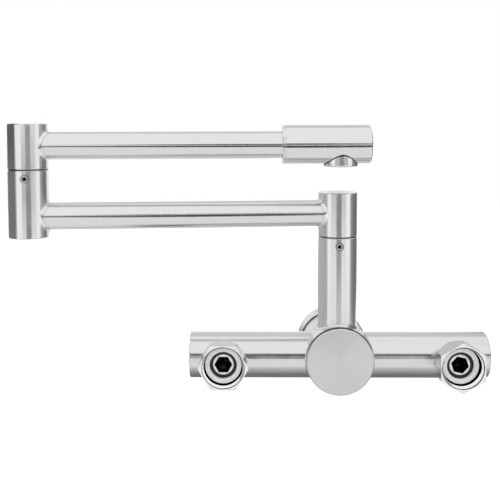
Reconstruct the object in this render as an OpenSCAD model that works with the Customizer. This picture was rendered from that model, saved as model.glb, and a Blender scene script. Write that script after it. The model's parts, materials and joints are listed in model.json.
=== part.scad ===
/*
Wall-mounted mixer tap with a folding spout of two arms, in brushed stainless steel.
Row frame: the origin lies midway between the two inlet unions, in the plane of their
mouths, which faces the wall. X runs along the body tube, Y runs away from the wall
towards the user, and Z is up. Every length is in millimetres and every angle in degrees.
The wall face of the object is seen from -Y.
*/

/* [Inlets] */
// Distance between the two inlet axes
inlet_spacing = 150; // [130:1:165]
// Inner diameter of the union thread
union_thread_d = 26.4; // [25:0.1:27]
// Width across the flats of a union nut
union_flats = 28; // [27.6:0.1:34]
// From the mouth of a union nut to the face of its seal washer
seal_depth = 6.6; // [5:0.1:12]
// Thickness of the seal washer
seal_washer_t = 2.2; // [1:0.1:3]
// Outer diameter of the seal washer
seal_washer_d = 23; // [21:0.1:25]
// Diameter of the hole in the seal washer
seal_washer_bore = 17.4; // [15:0.1:17.5]
// Thickness of the nipple flange that the union nut pulls on
nipple_flange_t = 3.2; // [2.5:0.1:5]
// Thickness of the back wall of a union nut
nut_shoulder_t = 3; // [2:0.1:5]
// Width across the flats of the key socket inside a nipple
key_flats = 10; // [8:0.5:11]
// Depth of the key socket inside a nipple
key_depth = 3.5; // [3:0.1:5]
// Turn of the key socket in the right nipple
right_key_turn = 12; // [0:1:60]

/* [Body] */
// Outer diameter of the body tube
tube_d = 30; // [27:0.1:31]
// Wall of the body tube
tube_wall = 2; // [1:0.1:3]
// From an inlet axis to the end of the body tube beyond it
tube_overhang = 22.4; // [18:0.1:40]
// Thickness of the plug in each end of the body tube
end_plug_t = 4; // [2:0.5:8]
// Outer diameter of the valve body
valve_d = 44.2; // [42.6:0.1:50]
// From the body tube axis to the front face of the valve body
valve_front = 26; // [25:0.1:30]
// Share of the valve body diameter that the cartridge chamber takes
chamber_share = 0.815; // [0.8:0.005:0.82]
// How far the edge of the rear cap stands back from the edge of the valve body
rear_cap_step = 0.4; // [0.3:0.1:3]
// How far the rear cap stands out of the valve body
rear_cap_t = 3.2; // [2:0.1:6]
// How far the edge of the trim cap stands out past the edge of the valve body
front_cap_lip = 1.1; // [0.2:0.1:3]
// Share of the dome under the control stick that the trim cap covers
front_cap_reach = 0.78; // [0.68:0.01:0.8]

/* [Spout] */
// Outer diameter of the riser, the elbow and the swivel heads
column_d = 25.5; // [24.5:0.1:28]
// Height of the riser seam above the body tube axis
riser_seam_h = 79.3; // [65:0.1:110]
// Distance between the two swivel axes
lower_reach = 200; // [150:1:260]
// Distance from the elbow axis to the outlet axis
upper_reach = 200; // [150:1:260]
// Outer diameter of the arm tubes
arm_d = 17.4; // [15:0.1:17.8]
// Wall of the arm tubes
arm_wall = 1.5; // [1:0.1:2.5]
// Swing of the lower arm towards the wall
lower_swing = 4.9; // [0:0.1:20]
// Swing of the folded upper arm away from the body tube direction
upper_swing = 2.1; // [0:0.1:20]
// Height of a swivel head above its seam
head_h = 29; // [27:0.1:36]
// Height of an arm axis above the seam below it
arm_rise = 15.1; // [14.5:0.1:18]
// From the lower arm axis up to the elbow seam
elbow_rise = 30.1; // [30:0.1:45]
// From the lower arm axis down to the bottom of the elbow
elbow_drop = 13.4; // [12.5:0.1:18]
// Width of the seam between a swivel head and the column below it
seam_gap = 0.7; // [0.4:0.05:0.9]

/* [Outlet] */
// Outer diameter of the spout head
spout_d = 25.3; // [24.6:0.1:30]
// Wall of the spout head
spout_wall = 2; // [1.5:0.1:2.2]
// Length of the spout head
spout_l = 55; // [50:0.5:70]
// From the outlet axis to the free end of the spout head
spout_nose = 18.5; // [15:0.5:24]
// Outer diameter of the outlet collar
collar_d = 22; // [20:0.1:22.4]
// How far the outlet collar stands out below the spout head
collar_drop = 1.5; // [0.5:0.1:6]
// Diameter of each hole in the outlet screen
screen_hole_d = 1.2; // [0.8:0.1:1.4]
// Distance between the rings of holes in the outlet screen
screen_pitch = 2.3; // [2.1:0.1:2.6]

/* [Control] */
// Clearance between the cartridge and its chamber
cartridge_gap = 0.5; // [0.4:0.1:0.8]
// Length of the control stick outside its dome
stick_l = 55; // [35:1:90]
// Diameter of the control stick
stick_d = 8; // [6:0.1:8.6]
// Wall and clearance of the trim cap round the dome under the control stick
dome_room = 3.7; // [3.6:0.1:4.4]

/* [Fits] */
// Clearance between pieces that are joined for good
joined_gap = 0.02; // [0.01:0.01:0.05]
// Radial clearance of a piece that turns in another
running_gap = 0.05; // [0.03:0.01:0.1]
// Clearance between pieces that only pass each other
passing_gap = 0.3; // [0.2:0.05:0.4]

/* [Hidden] */

// Roundness of every circle
$fn = 72;
// Overrun of every cut past the face it opens
cut = 1;
// Sides of a hexagon
hex_sides = 6;
// A full turn, half of it and a quarter of it
full_turn = 360;
half_turn = 180;
quarter_turn = 90;

// Colours of the parts
steel = [0.78, 0.78, 0.77];
bright_steel = [0.86, 0.86, 0.85];
brass_tone = [0.78, 0.66, 0.38];
black_rubber = [0.1, 0.1, 0.1];
black_plastic = [0.14, 0.14, 0.15];
grey_fibre = [0.62, 0.62, 0.58];
white_plastic = [0.9, 0.9, 0.88];
grey_plastic = [0.45, 0.46, 0.48];
ceramic_tone = [0.93, 0.92, 0.88];

// Small breaks on the edges of the steel parts
edge_break = 0.5;
fine_break = 0.3;
seam_break = 0.4;

// Union nuts and nipples
nut_play = 0.2;
nut_back_gap = 0.8;
nut_l = seal_depth + seal_washer_t + nipple_flange_t + nut_play + nut_shoulder_t;
tube_y = nut_l + nut_back_gap + tube_d / 2;
inlet_x = inlet_spacing / 2;
tube_l = inlet_spacing + tube_overhang + tube_overhang;
mouth_chamfer_share = 0.5;
thread_chamfer = (union_flats - union_thread_d) / 2 * mouth_chamfer_share;
thread_stop_gap = 0.2;
thread_groove_w = 1;
thread_groove_deep = 0.2;
thread_deep = 1.16;
nut_corner_d = union_flats / cos(half_turn / hex_sides);
nut_mouth_trim = 0.4;
nut_grip_l = 6.4;
nut_back_trim = 0.6;
flange_gap = 0.1;
flange_d = union_thread_d - thread_deep - thread_deep - flange_gap - flange_gap;
boss_wall = 2;
nipple_neck_d = 20;
nipple_stem_d = nipple_neck_d - boss_wall;
boss_d = nipple_stem_d + boss_wall + boss_wall;
boss_stand = 0.5;
boss_l = 9;
nipple_stem_l = 8;
nipple_seal_t = 2.4;
nipple_seal_bore = 13.4;
nipple_recess_gap = 0.6;
key_boss_stand = 0.4;
key_way_d = key_flats - edge_break;

// Shares of the cartridge diameter that the pieces inside it take
fixed_disc_share = 0.83;
moving_disc_share = 0.57;
rotor_flange_share = 0.885;
rotor_neck_share = 0.554;
port_share = 0.16;
inlet_port_share = 0.2;
outlet_port_share = 0.229;
stem_share = 0.171;
ball_share = 0.137;
pin_share = 0.086;

// Valve body, water ways and rear cap
rear_lip = 6;
cap_thread_step = 1.5;
shell_neck_wall = 2.5;
valve_rear_margin = 0.2;
valve_rear = tube_d / 2 + valve_rear_margin;
chamber_d = valve_d * chamber_share;
cartridge_d = chamber_d - cartridge_gap - cartridge_gap;
rear_cap_d = valve_d - rear_cap_step - rear_cap_step;
front_cap_d = valve_d + front_cap_lip + front_cap_lip;
dome_r = front_cap_d / 2 - dome_room;
front_cap_l = dome_r * front_cap_reach;
socket_wall = 2.2;
socket_d = chamber_d + socket_wall + socket_wall;
chamber_floor = -2.4;
port_d = cartridge_d * port_share;
port_wall = 1;
port_x = cartridge_d * inlet_port_share;
outlet_port_z = cartridge_d * outlet_port_share;
port_y = chamber_floor - port_wall - port_d / 2;
rear_spigot_d = rear_cap_d - rear_lip - rear_lip;
rear_spigot_t = 3;
cap_spigot_l = 3.3;
cap_thread_d = chamber_d + cap_thread_step + cap_thread_step;
cap_spigot_wall = 2;
cap_seam = passing_gap;
cap_rim_break = 1;
cap_web_t = 1;

// Cartridge, measured along Y from the body tube axis
base_start = chamber_floor + passing_gap;
base_t = 4.5;
disc_gap = 0.1;
fixed_disc_t = 3;
fixed_disc_d = cartridge_d * fixed_disc_share;
moving_disc_t = 3;
moving_disc_d = cartridge_d * moving_disc_share;
pocket_gap = 0.3;
carrier_t = 5;
carrier_d = moving_disc_d + pocket_gap;
carrier_pocket = 4;
shell_wall = 1.5;
shell_top_t = 1.4;
rotor_neck_d = cartridge_d * rotor_neck_share;
shell_neck_d = rotor_neck_d + shell_neck_wall + shell_neck_wall;
shell_neck_l = 3.8;
rotor_flange_t = 2.4;
rotor_flange_d = cartridge_d * rotor_flange_share;
seal_section = 1.2;
base_end = base_start + base_t;
fixed_disc_y = base_end + disc_gap;
moving_disc_y = fixed_disc_y + fixed_disc_t + disc_gap;
carrier_y = moving_disc_y + moving_disc_t + disc_gap;
rotor_y = carrier_y + carrier_t + passing_gap + disc_gap;
shell_top_y = rotor_y + rotor_flange_t + passing_gap;
shell_end = shell_top_y + shell_top_t;
cartridge_nut_y = shell_end + disc_gap;
cap_spigot_y = valve_front - cap_spigot_l;
cartridge_nut_t = cap_spigot_y - passing_gap - cartridge_nut_y;
nut_thread_gap = 0.1;
nut_notch_w = 4;
nut_notch_deep = 1.2;
nut_notches = 4;

// Pivot of the control stick, and the travel of the disc that it drives
pivot_y = valve_front;
pivot_pin_d = cartridge_d * pin_share;
pivot_cover = 4;
stem_d = cartridge_d * stem_share;
ball_d = cartridge_d * ball_share;
stick_tilt = 22;
ball_y = carrier_y + carrier_t - carrier_pocket + ball_d / 2 + disc_gap;
pivot_arm = pivot_y - ball_y;
disc_travel = pivot_arm * stick_tilt * PI / half_turn;
disc_rest_z = disc_travel / 2;
slot_gap = 0.4;
dome_wall = 1.5;
dome_gap = 0.6;
dome_cover = 63;
dome_boss_d = 13;
dome_boss_l = 7;
stem_into_boss = 5;
stud_d = stem_d - edge_break - edge_break;
stud_l = 6;

// Swivels of the spout, measured up from their seam
screw_drop = 5.6;
screw_d = 5;
screw_l = 4.2;
screw_sunk = 0.25;
screw_key = 2.5;
screw_key_deep = 2;
screw_mouth_gap = 0.25;
screw_mouth_l = 1;
column_wall = 2.55;
column_bore = column_d - column_wall - column_wall;
bush_wall = 1.1;
bush_top = 0.3;
bush_l = 9.5;
spigot_neck_d = column_bore - bush_wall - bush_wall - running_gap - running_gap;
spigot_foot_d = column_bore - running_gap - running_gap;
spigot_bore = 12.6;
spigot_top = 5.5;
spigot_foot_l = 11.2;
spigot_waist = bush_top + bush_l + passing_gap;
spigot_end = spigot_waist + spigot_foot_l;
screw_groove_w = 5.6;
screw_groove_deep = 1.1;
o_ring_section = 1.7;
o_ring_groove_w = 2.1;
o_ring_edge = 2;
slip_washer_gap = 0.1;
slip_washer_t = seam_gap - slip_washer_gap - slip_washer_gap;
slip_washer_edge = 0.8;
head_bore = spigot_neck_d + joined_gap + joined_gap;
column_plug_d = 21;
column_plug_t = 3;
lower_arm_z = riser_seam_h + arm_rise;
elbow_seam_h = lower_arm_z + elbow_rise;
upper_arm_z = elbow_seam_h + arm_rise;
elbow_x = -lower_reach * cos(lower_swing);
elbow_y = tube_y - lower_reach * sin(lower_swing);
riser_screw_turn = -quarter_turn;
elbow_screw_turn = quarter_turn;

// Spout head and outlet
spout_bore = spout_d - spout_wall - spout_wall;
spout_start = upper_reach + spout_nose - spout_l;
end_ring_d = 24.2;
end_ring_t = 1.3;
end_ring_depth = 6;
spout_plug_t = 3;
spout_plug_lip = 0.7;
arm_into_spout = 9;
collar_wall = 1.7;
collar_seat = 4;
collar_round = 1.2;
collar_bore = collar_d - collar_wall - collar_wall;
collar_bottom = -spout_d / 2 - collar_drop;
housing_wall = 1.2;
housing_recess = 0.3;
housing_d = collar_bore - joined_gap - joined_gap;
housing_bore = housing_d - housing_wall - housing_wall;
housing_l = 7.5;
housing_lip_t = 1;
housing_lip = 1.2;
screen_t = 1;
screen_sunk = 0.8;
screen_rings = 3;
regulator_t = 2.5;
regulator_holes = 8;
regulator_hole_d = 1.6;
aerator_washer_t = 1.5;

// Turns the local Z axis to +Y
module along_y() {
    rotate([-quarter_turn, 0, 0]) children();
}

// Turns the local Z axis to +X
module along_x() {
    rotate([0, quarter_turn, 0]) children();
}

// Moves a piece to the axis of the body tube
module at_body() {
    translate([0, tube_y, 0]) children();
}

// A piece that lies along the valve axis, with its Z measured from the tube axis
module on_valve_axis() {
    at_body() along_y() children();
}

// A plain rod from one height to another
module rod(from, to, d) {
    translate([0, 0, from]) cylinder(h = to - from, d = d);
}

// A rod that cuts past both of its ends
module drill(from, to, d) {
    rod(from - cut, to + cut, d);
}

// A ring or tube with square edges
module tube_piece(from, to, d, bore) {
    difference() {
        rod(from, to, d);
        drill(from, to, bore);
    }
}

// A rod with a break of its own on each end
module broken_rod(from, to, d, low_break, high_break) {
    rotate_extrude()
        polygon([[0, from], [d / 2 - low_break, from], [d / 2, from + low_break],
            [d / 2, to - high_break], [d / 2 - high_break, to], [0, to]]);
}

// A rod whose lower edge is rounded
module rounded_rod(from, to, d, round) {
    arc_steps = 6;
    arc = [for (step = [0 : arc_steps])
        let (turn = quarter_turn * step / arc_steps)
        [d / 2 - round + round * sin(turn), from + round - round * cos(turn)]];
    rotate_extrude() polygon(concat([[0, from]], arc, [[d / 2, to], [0, to]]));
}

// A prism with six flats, two of them square to the local Y axis
module hex_prism(from, to, flats) {
    translate([0, 0, from])
        cylinder(h = to - from, d = flats / cos(half_turn / hex_sides), $fn = hex_sides);
}

// Valve body and its water ways
module tube_sockets() {
    difference() {
        along_x() drill(-valve_d / 2, valve_d / 2, tube_d + joined_gap + joined_gap);
        along_y() drill(-valve_d, valve_d, socket_d);
    }
}

module inlet_way(side) {
    translate([side * port_x, port_y, 0]) {
        along_y() rod(0, chamber_floor - port_y + cut, port_d);
        along_x() rod(side > 0 ? 0 : -socket_d / 2, side > 0 ? socket_d / 2 : 0, port_d);
    }
}

module outlet_way() {
    translate([0, port_y, 0]) {
        translate([0, 0, outlet_port_z]) {
            along_y() rod(0, chamber_floor - port_y + cut, port_d);
            rod(0, valve_d / 2, port_d);
        }
    }
}

module valve_body() {
    color(steel) at_body() difference() {
        along_y() broken_rod(-valve_rear, valve_front, valve_d, fine_break, fine_break);
        along_y() rod(chamber_floor, valve_front + cut, chamber_d);
        along_y() rod(cap_spigot_y - passing_gap, valve_front + cut,
            cap_thread_d + joined_gap + joined_gap);
        along_y() rod(-valve_rear - cut, -valve_rear + rear_spigot_t + joined_gap,
            rear_spigot_d + joined_gap + joined_gap);
        tube_sockets();
        inlet_way(-1);
        inlet_way(1);
        outlet_way();
    }
}

module rear_cap() {
    color(steel) on_valve_axis() {
        broken_rod(-valve_rear - rear_cap_t, -valve_rear, rear_cap_d, edge_break, 0);
        rod(-valve_rear - joined_gap, -valve_rear + rear_spigot_t, rear_spigot_d);
    }
}

module body_tube(side) {
    color(steel) at_body() difference() {
        along_x() mirror([0, 0, side > 0 ? 0 : 1]) difference() {
            broken_rod(0, tube_l / 2, tube_d, 0, edge_break);
            drill(0, tube_l / 2, tube_d - tube_wall - tube_wall);
        }
        along_y() drill(-valve_d, valve_d, socket_d);
        translate([side * inlet_x, 0, 0])
            along_y() rod(-tube_d, 0, boss_d + joined_gap + joined_gap);
    }
}

module end_plug(side) {
    plug_d = tube_d - tube_wall - tube_wall - joined_gap - joined_gap;
    color(steel) at_body() along_x() mirror([0, 0, side > 0 ? 0 : 1])
        broken_rod(tube_l / 2 - end_plug_t, tube_l / 2, plug_d, 0, joined_gap);
}

// Inlet fittings, measured along Y from the mouth of the union nut
module at_inlet(side) {
    translate([side * inlet_x, 0, 0]) along_y() children();
}

module inlet_boss(side) {
    boss_start = tube_y - tube_d / 2 - boss_stand;
    color(steel) at_inlet(side) tube_piece(boss_start, boss_start + boss_l, boss_d,
        nipple_stem_d + joined_gap + joined_gap);
}

module inlet_nipple(side) {
    flange_y = seal_depth + seal_washer_t;
    neck_y = flange_y + nipple_flange_t;
    stem_y = tube_y - tube_d / 2 - boss_stand;
    recess_end = flange_y + nipple_seal_t + nipple_recess_gap;
    boss_y = flange_y - key_boss_stand;
    key_end = boss_y + key_depth;
    key_turn = side > 0 ? right_key_turn : 0;
    color(bright_steel) at_inlet(side) difference() {
        union() {
            difference() {
                broken_rod(flange_y, neck_y, flange_d, fine_break, 0);
                rod(flange_y - cut, recess_end, seal_washer_bore + joined_gap);
            }
            broken_rod(boss_y, neck_y, nipple_seal_bore - joined_gap - joined_gap, fine_break, 0);
            rod(recess_end, stem_y, nipple_neck_d);
            rod(stem_y - cut, stem_y + nipple_stem_l, nipple_stem_d);
        }
        rotate([0, 0, key_turn]) hex_prism(boss_y - cut, key_end, key_flats);
        rod(boss_y, stem_y + nipple_stem_l + cut, key_way_d);
    }
}

module nipple_seal(side) {
    start = seal_depth + seal_washer_t + nipple_recess_gap / 2;
    color(black_rubber) at_inlet(side)
        tube_piece(start, start + nipple_seal_t, seal_washer_bore - joined_gap, nipple_seal_bore);
}

module seal_washer(side) {
    color(grey_fibre) at_inlet(side)
        tube_piece(seal_depth, seal_depth + seal_washer_t, seal_washer_d, seal_washer_bore);
}

// Outer shape of a union nut: a hexagon with a trimmed mouth and a long cone towards its back
module nut_outside() {
    corner_r = nut_corner_d / 2;
    flat_r = union_flats / 2;
    intersection() {
        hex_prism(0, nut_l, union_flats);
        rotate_extrude()
            polygon([[0, 0], [corner_r - nut_mouth_trim, 0], [corner_r, nut_mouth_trim],
                [corner_r, nut_grip_l], [flat_r, nut_l - nut_back_trim],
                [flat_r - nut_back_trim, nut_l], [0, nut_l]]);
    }
}

module union_nut(side) {
    turn = side > 0 ? half_turn / hex_sides : 0;
    thread_end = seal_depth - thread_stop_gap;
    pocket_end = nut_l - nut_shoulder_t;
    mouth_r = union_thread_d / 2;
    color(steel) at_inlet(side) difference() {
        rotate([0, 0, turn]) nut_outside();
        rotate_extrude()
            polygon([[0, -cut], [mouth_r + thread_chamfer, -cut], [mouth_r + thread_chamfer, 0],
                [mouth_r, thread_chamfer], [mouth_r, thread_end],
                [mouth_r + thread_groove_deep, thread_end],
                [mouth_r + thread_groove_deep, thread_end + thread_groove_w],
                [mouth_r, thread_end + thread_groove_w], [mouth_r, pocket_end], [0, pocket_end]]);
        drill(pocket_end, nut_l, nipple_neck_d + running_gap + running_gap);
    }
}

// Riser on top of the valve body
module screw_hole(turn, gap) {
    rotate([0, 0, turn]) translate([0, 0, -screw_drop])
        along_x() rod(0, column_d, screw_d + gap + gap);
}

// Hole for a set screw, with a slightly wider mouth
module set_screw_place(turn) {
    screw_hole(turn, joined_gap);
    rotate([0, 0, turn]) translate([0, 0, -screw_drop]) along_x()
        rod(column_d / 2 - screw_mouth_l, column_d, screw_d + screw_mouth_gap + screw_mouth_gap);
}

module riser_tube() {
    color(steel) at_body() difference() {
        translate([0, 0, riser_seam_h])
            broken_rod(-riser_seam_h, -seam_gap / 2, column_d, 0, seam_break);
        drill(0, riser_seam_h, column_bore);
        along_y() drill(-valve_d, valve_d, valve_d + joined_gap + joined_gap);
        translate([0, 0, riser_seam_h]) set_screw_place(riser_screw_turn);
    }
}

// Pieces of a swivel, measured up from its seam
module swivel_bush(turn) {
    difference() {
        tube_piece(-bush_top - bush_l, -bush_top, column_bore - joined_gap - joined_gap,
            column_bore - bush_wall - bush_wall);
        screw_hole(turn, joined_gap);
    }
}

module set_screw(turn) {
    tip = column_d / 2 - screw_sunk - screw_l;
    rotate([0, 0, turn]) translate([0, 0, -screw_drop]) along_x() difference() {
        broken_rod(tip, tip + screw_l, screw_d, fine_break, fine_break);
        hex_prism(tip + screw_l - screw_key_deep, tip + screw_l + cut, screw_key);
    }
}

module slip_washer() {
    tube_piece(-slip_washer_t / 2, slip_washer_t / 2, column_d - slip_washer_edge,
        spigot_neck_d + running_gap + running_gap + running_gap);
}

function o_ring_z(index) = -spigot_end + o_ring_edge + o_ring_groove_w / 2
    + index * (spigot_foot_l - o_ring_edge - o_ring_edge - o_ring_groove_w);

module swivel_spigot() {
    groove_d = spigot_neck_d - screw_groove_deep - screw_groove_deep;
    ring_bed = o_ring_section + joined_gap + joined_gap;
    seal_d = spigot_foot_d - ring_bed - ring_bed;
    difference() {
        union() {
            rod(-spigot_waist, spigot_top, spigot_neck_d);
            broken_rod(-spigot_end, -spigot_waist, spigot_foot_d, fine_break, fine_break);
        }
        drill(-spigot_end, spigot_top, spigot_bore);
        difference() {
            rod(-screw_drop - screw_groove_w / 2, -screw_drop + screw_groove_w / 2, column_d);
            drill(-screw_drop - screw_groove_w, -screw_drop + screw_groove_w, groove_d);
        }
        for (index = [0, 1]) {
            translate([0, 0, o_ring_z(index)]) difference() {
                rod(-o_ring_groove_w / 2, o_ring_groove_w / 2, column_d);
                drill(-o_ring_groove_w, o_ring_groove_w, seal_d);
            }
        }
    }
}

module swivel_o_rings() {
    for (index = [0, 1])
        translate([0, 0, o_ring_z(index)]) rotate_extrude()
            translate([spigot_foot_d / 2 - o_ring_section / 2 - joined_gap, 0])
                circle(d = o_ring_section);
}

module column_plug() {
    broken_rod(-column_plug_t, 0, column_plug_d, 0, joined_gap);
}

// Head that turns on a seam and carries an arm towards the local X axis
module swivel_head() {
    difference() {
        broken_rod(seam_gap / 2, head_h, column_d, seam_break, edge_break);
        rod(-cut, head_h - column_plug_t, head_bore);
        rod(head_h - column_plug_t - joined_gap, head_h + cut,
            column_plug_d + joined_gap + joined_gap);
        translate([0, 0, arm_rise]) along_x() rod(0, column_d, arm_d + joined_gap + joined_gap);
    }
}

// Frames of the two arms: local X runs along the arm from its swivel axis
module on_lower_arm() {
    at_body() rotate([0, 0, half_turn + lower_swing]) children();
}

module at_elbow() {
    on_lower_arm() translate([lower_reach, 0, 0]) children();
}

module on_upper_arm() {
    translate([elbow_x, elbow_y, 0]) rotate([0, 0, upper_swing]) children();
}

// Places of the fixed and of the turning pieces of each swivel
module at_riser_top() {
    at_body() translate([0, 0, riser_seam_h]) children();
}

module at_riser_seam() {
    on_lower_arm() translate([0, 0, riser_seam_h]) children();
}

module at_elbow_top() {
    at_elbow() translate([0, 0, elbow_seam_h]) children();
}

module at_elbow_seam() {
    on_upper_arm() translate([0, 0, elbow_seam_h]) children();
}

module riser_bush() {
    color(white_plastic) at_riser_top() swivel_bush(riser_screw_turn);
}

module riser_set_screw() {
    color(bright_steel) at_riser_top() set_screw(riser_screw_turn);
}

module riser_slip_washer() {
    color(black_plastic) at_riser_top() slip_washer();
}

module riser_head() {
    color(steel) at_riser_seam() swivel_head();
}

module riser_head_plug() {
    color(steel) at_riser_seam() translate([0, 0, head_h]) column_plug();
}

module riser_spigot() {
    color(brass_tone) at_riser_seam() swivel_spigot();
}

module riser_o_rings() {
    color(black_rubber) at_riser_seam() swivel_o_rings();
}

module elbow_bottom_plug() {
    color(steel) at_elbow() translate([0, 0, lower_arm_z - elbow_drop])
        mirror([0, 0, 1]) column_plug();
}

module elbow_bush() {
    color(white_plastic) at_elbow_top() swivel_bush(elbow_screw_turn);
}

module elbow_set_screw() {
    color(bright_steel) at_elbow_top() set_screw(elbow_screw_turn);
}

module elbow_slip_washer() {
    color(black_plastic) at_elbow_top() slip_washer();
}

module elbow_head() {
    color(steel) at_elbow_seam() swivel_head();
}

module elbow_head_plug() {
    color(steel) at_elbow_seam() translate([0, 0, head_h]) column_plug();
}

module elbow_spigot() {
    color(brass_tone) at_elbow_seam() swivel_spigot();
}

module elbow_o_rings() {
    color(black_rubber) at_elbow_seam() swivel_o_rings();
}

// Arm tube whose first end follows the bore of the swivel head that it is joined to
module arm_tube(length) {
    difference() {
        along_x() tube_piece(0, length, arm_d, arm_d - arm_wall - arm_wall);
        drill(-arm_d, arm_d, head_bore);
    }
}

module lower_arm() {
    color(steel) on_lower_arm() translate([0, 0, lower_arm_z]) difference() {
        arm_tube(lower_reach);
        translate([lower_reach, 0, 0]) drill(-arm_d, arm_d, column_bore);
    }
}

module elbow_sleeve() {
    top = elbow_seam_h - seam_gap / 2;
    bottom = lower_arm_z - elbow_drop;
    color(steel) at_elbow() difference() {
        broken_rod(bottom, top, column_d, edge_break, seam_break);
        rod(bottom + column_plug_t, top + cut, column_bore);
        rod(bottom - cut, bottom + column_plug_t + joined_gap,
            column_plug_d + joined_gap + joined_gap);
        translate([0, 0, lower_arm_z])
            along_x() rod(-column_d, 0, arm_d + joined_gap + joined_gap);
        translate([0, 0, elbow_seam_h]) set_screw_place(elbow_screw_turn);
    }
}

module upper_arm() {
    color(steel) on_upper_arm() translate([0, 0, upper_arm_z])
        arm_tube(spout_start + arm_into_spout);
}

// Spout head: its local X runs along the upper arm, and its Z is measured from the arm axis
module at_spout() {
    on_upper_arm() translate([0, 0, upper_arm_z]) children();
}

module at_outlet() {
    at_spout() translate([upper_reach, 0, 0]) children();
}

module spout_head() {
    spout_end = spout_start + spout_l;
    color(steel) at_spout() difference() {
        along_x() broken_rod(spout_start, spout_end, spout_d, fine_break, edge_break);
        along_x() drill(spout_start, spout_end, spout_bore);
        along_x() rod(spout_end - spout_plug_t, spout_end + cut,
            spout_bore + spout_plug_lip + spout_plug_lip);
        translate([upper_reach, 0, 0])
            rod(-spout_d, -collar_seat, collar_d + joined_gap + joined_gap);
    }
}

module spout_end_ring() {
    color(bright_steel) at_spout() along_x() difference() {
        union() {
            broken_rod(spout_start - end_ring_t, spout_start, end_ring_d, fine_break, 0);
            rod(spout_start - joined_gap, spout_start + end_ring_depth,
                spout_bore - joined_gap - joined_gap);
        }
        drill(spout_start - end_ring_t, spout_start + end_ring_depth,
            arm_d + joined_gap + joined_gap);
    }
}

module spout_end_plug() {
    spout_end = spout_start + spout_l;
    color(steel) at_spout() along_x()
        broken_rod(spout_end - spout_plug_t + joined_gap, spout_end,
            spout_bore + spout_plug_lip + spout_plug_lip - joined_gap, 0, joined_gap);
}

module outlet_collar() {
    color(steel) at_outlet() difference() {
        rounded_rod(collar_bottom, -collar_seat - joined_gap, collar_d, collar_round);
        drill(collar_bottom, -collar_seat, collar_bore);
    }
}

module aerator_housing() {
    bottom = collar_bottom + housing_recess;
    color(grey_plastic) at_outlet() difference() {
        rod(bottom, bottom + housing_l, housing_d);
        rod(bottom + housing_lip_t, bottom + housing_l + cut, housing_bore);
        drill(bottom, bottom + housing_lip_t, housing_bore - housing_lip);
    }
}

module aerator_screen() {
    bottom = collar_bottom + housing_recess + housing_lip_t + joined_gap;
    color(bright_steel) at_outlet() difference() {
        rod(bottom, bottom + screen_t, housing_bore - joined_gap - joined_gap);
        drill(bottom, bottom + screen_t, screen_hole_d);
        for (ring = [1 : screen_rings - 1])
            for (hole = [0 : hex_sides * ring - 1])
                rotate([0, 0, full_turn * hole / (hex_sides * ring)])
                    translate([ring * screen_pitch, 0, 0])
                        drill(bottom, bottom + screen_t, screen_hole_d);
    }
}

module flow_regulator() {
    bottom = collar_bottom + housing_recess + housing_lip_t + screen_t + screen_sunk;
    hole_ring = housing_bore / 2 - regulator_hole_d - regulator_hole_d;
    color(white_plastic) at_outlet() difference() {
        rod(bottom, bottom + regulator_t, housing_bore - joined_gap - joined_gap);
        for (hole = [0 : regulator_holes - 1])
            rotate([0, 0, full_turn * hole / regulator_holes])
                translate([hole_ring, 0, 0]) drill(bottom, bottom + regulator_t, regulator_hole_d);
    }
}

module aerator_washer() {
    start = collar_bottom + housing_recess + housing_l + joined_gap;
    color(black_rubber) at_outlet()
        tube_piece(start, start + aerator_washer_t, housing_d, housing_bore);
}

// Cartridge
module port_places() {
    translate([-port_x, 0, 0]) children();
    translate([port_x, 0, 0]) children();
    translate([0, -outlet_port_z, 0]) children();
}

module cartridge_base() {
    seal_d = port_d + seal_section + seal_section + joined_gap + joined_gap;
    color(white_plastic) on_valve_axis() difference() {
        rod(base_start, base_end, cartridge_d);
        port_places() {
            drill(base_start, base_end, port_d);
            rod(base_start - cut, base_start + seal_section, seal_d);
        }
    }
}

module cartridge_seals() {
    color(black_rubber) on_valve_axis() port_places()
        tube_piece(chamber_floor + joined_gap, base_start + seal_section - joined_gap,
            port_d + seal_section + seal_section, port_d);
}

module fixed_disc() {
    color(ceramic_tone) on_valve_axis() difference() {
        rod(fixed_disc_y, fixed_disc_y + fixed_disc_t, fixed_disc_d);
        port_places() drill(fixed_disc_y, fixed_disc_y + fixed_disc_t, port_d);
    }
}

module cartridge_shell() {
    color(grey_plastic) on_valve_axis() difference() {
        union() {
            rod(base_end + joined_gap, shell_end, cartridge_d);
            rod(shell_end - cut, shell_end + shell_neck_l, shell_neck_d);
        }
        rod(base_end - cut, shell_top_y, cartridge_d - shell_wall - shell_wall);
        drill(shell_top_y, shell_end + shell_neck_l, rotor_neck_d + running_gap + running_gap);
    }
}

module cartridge_nut() {
    outer_d = chamber_d - nut_thread_gap - nut_thread_gap;
    color(brass_tone) on_valve_axis() difference() {
        tube_piece(cartridge_nut_y, cartridge_nut_y + cartridge_nut_t, outer_d,
            shell_neck_d + nut_thread_gap + nut_thread_gap);
        for (notch = [0 : nut_notches - 1])
            rotate([0, 0, full_turn * notch / nut_notches])
                translate([0, -nut_notch_w / 2, cartridge_nut_y + cartridge_nut_t - nut_notch_deep])
                    cube([chamber_d, nut_notch_w, nut_notch_deep + cut]);
    }
}

module front_cap() {
    start = valve_front + cap_seam;
    spigot_bore_d = cap_thread_d - cap_spigot_wall - cap_spigot_wall;
    color(steel) on_valve_axis() difference() {
        union() {
            broken_rod(start, start + front_cap_l, front_cap_d, fine_break, cap_rim_break);
            rod(cap_spigot_y, start + cap_web_t, cap_thread_d);
        }
        drill(cap_spigot_y, start + cap_web_t, spigot_bore_d);
        translate([0, 0, pivot_y]) intersection() {
            sphere(r = dome_r + dome_gap);
            rod(cap_seam + cap_web_t, front_cap_d, front_cap_d);
        }
    }
}

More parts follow.
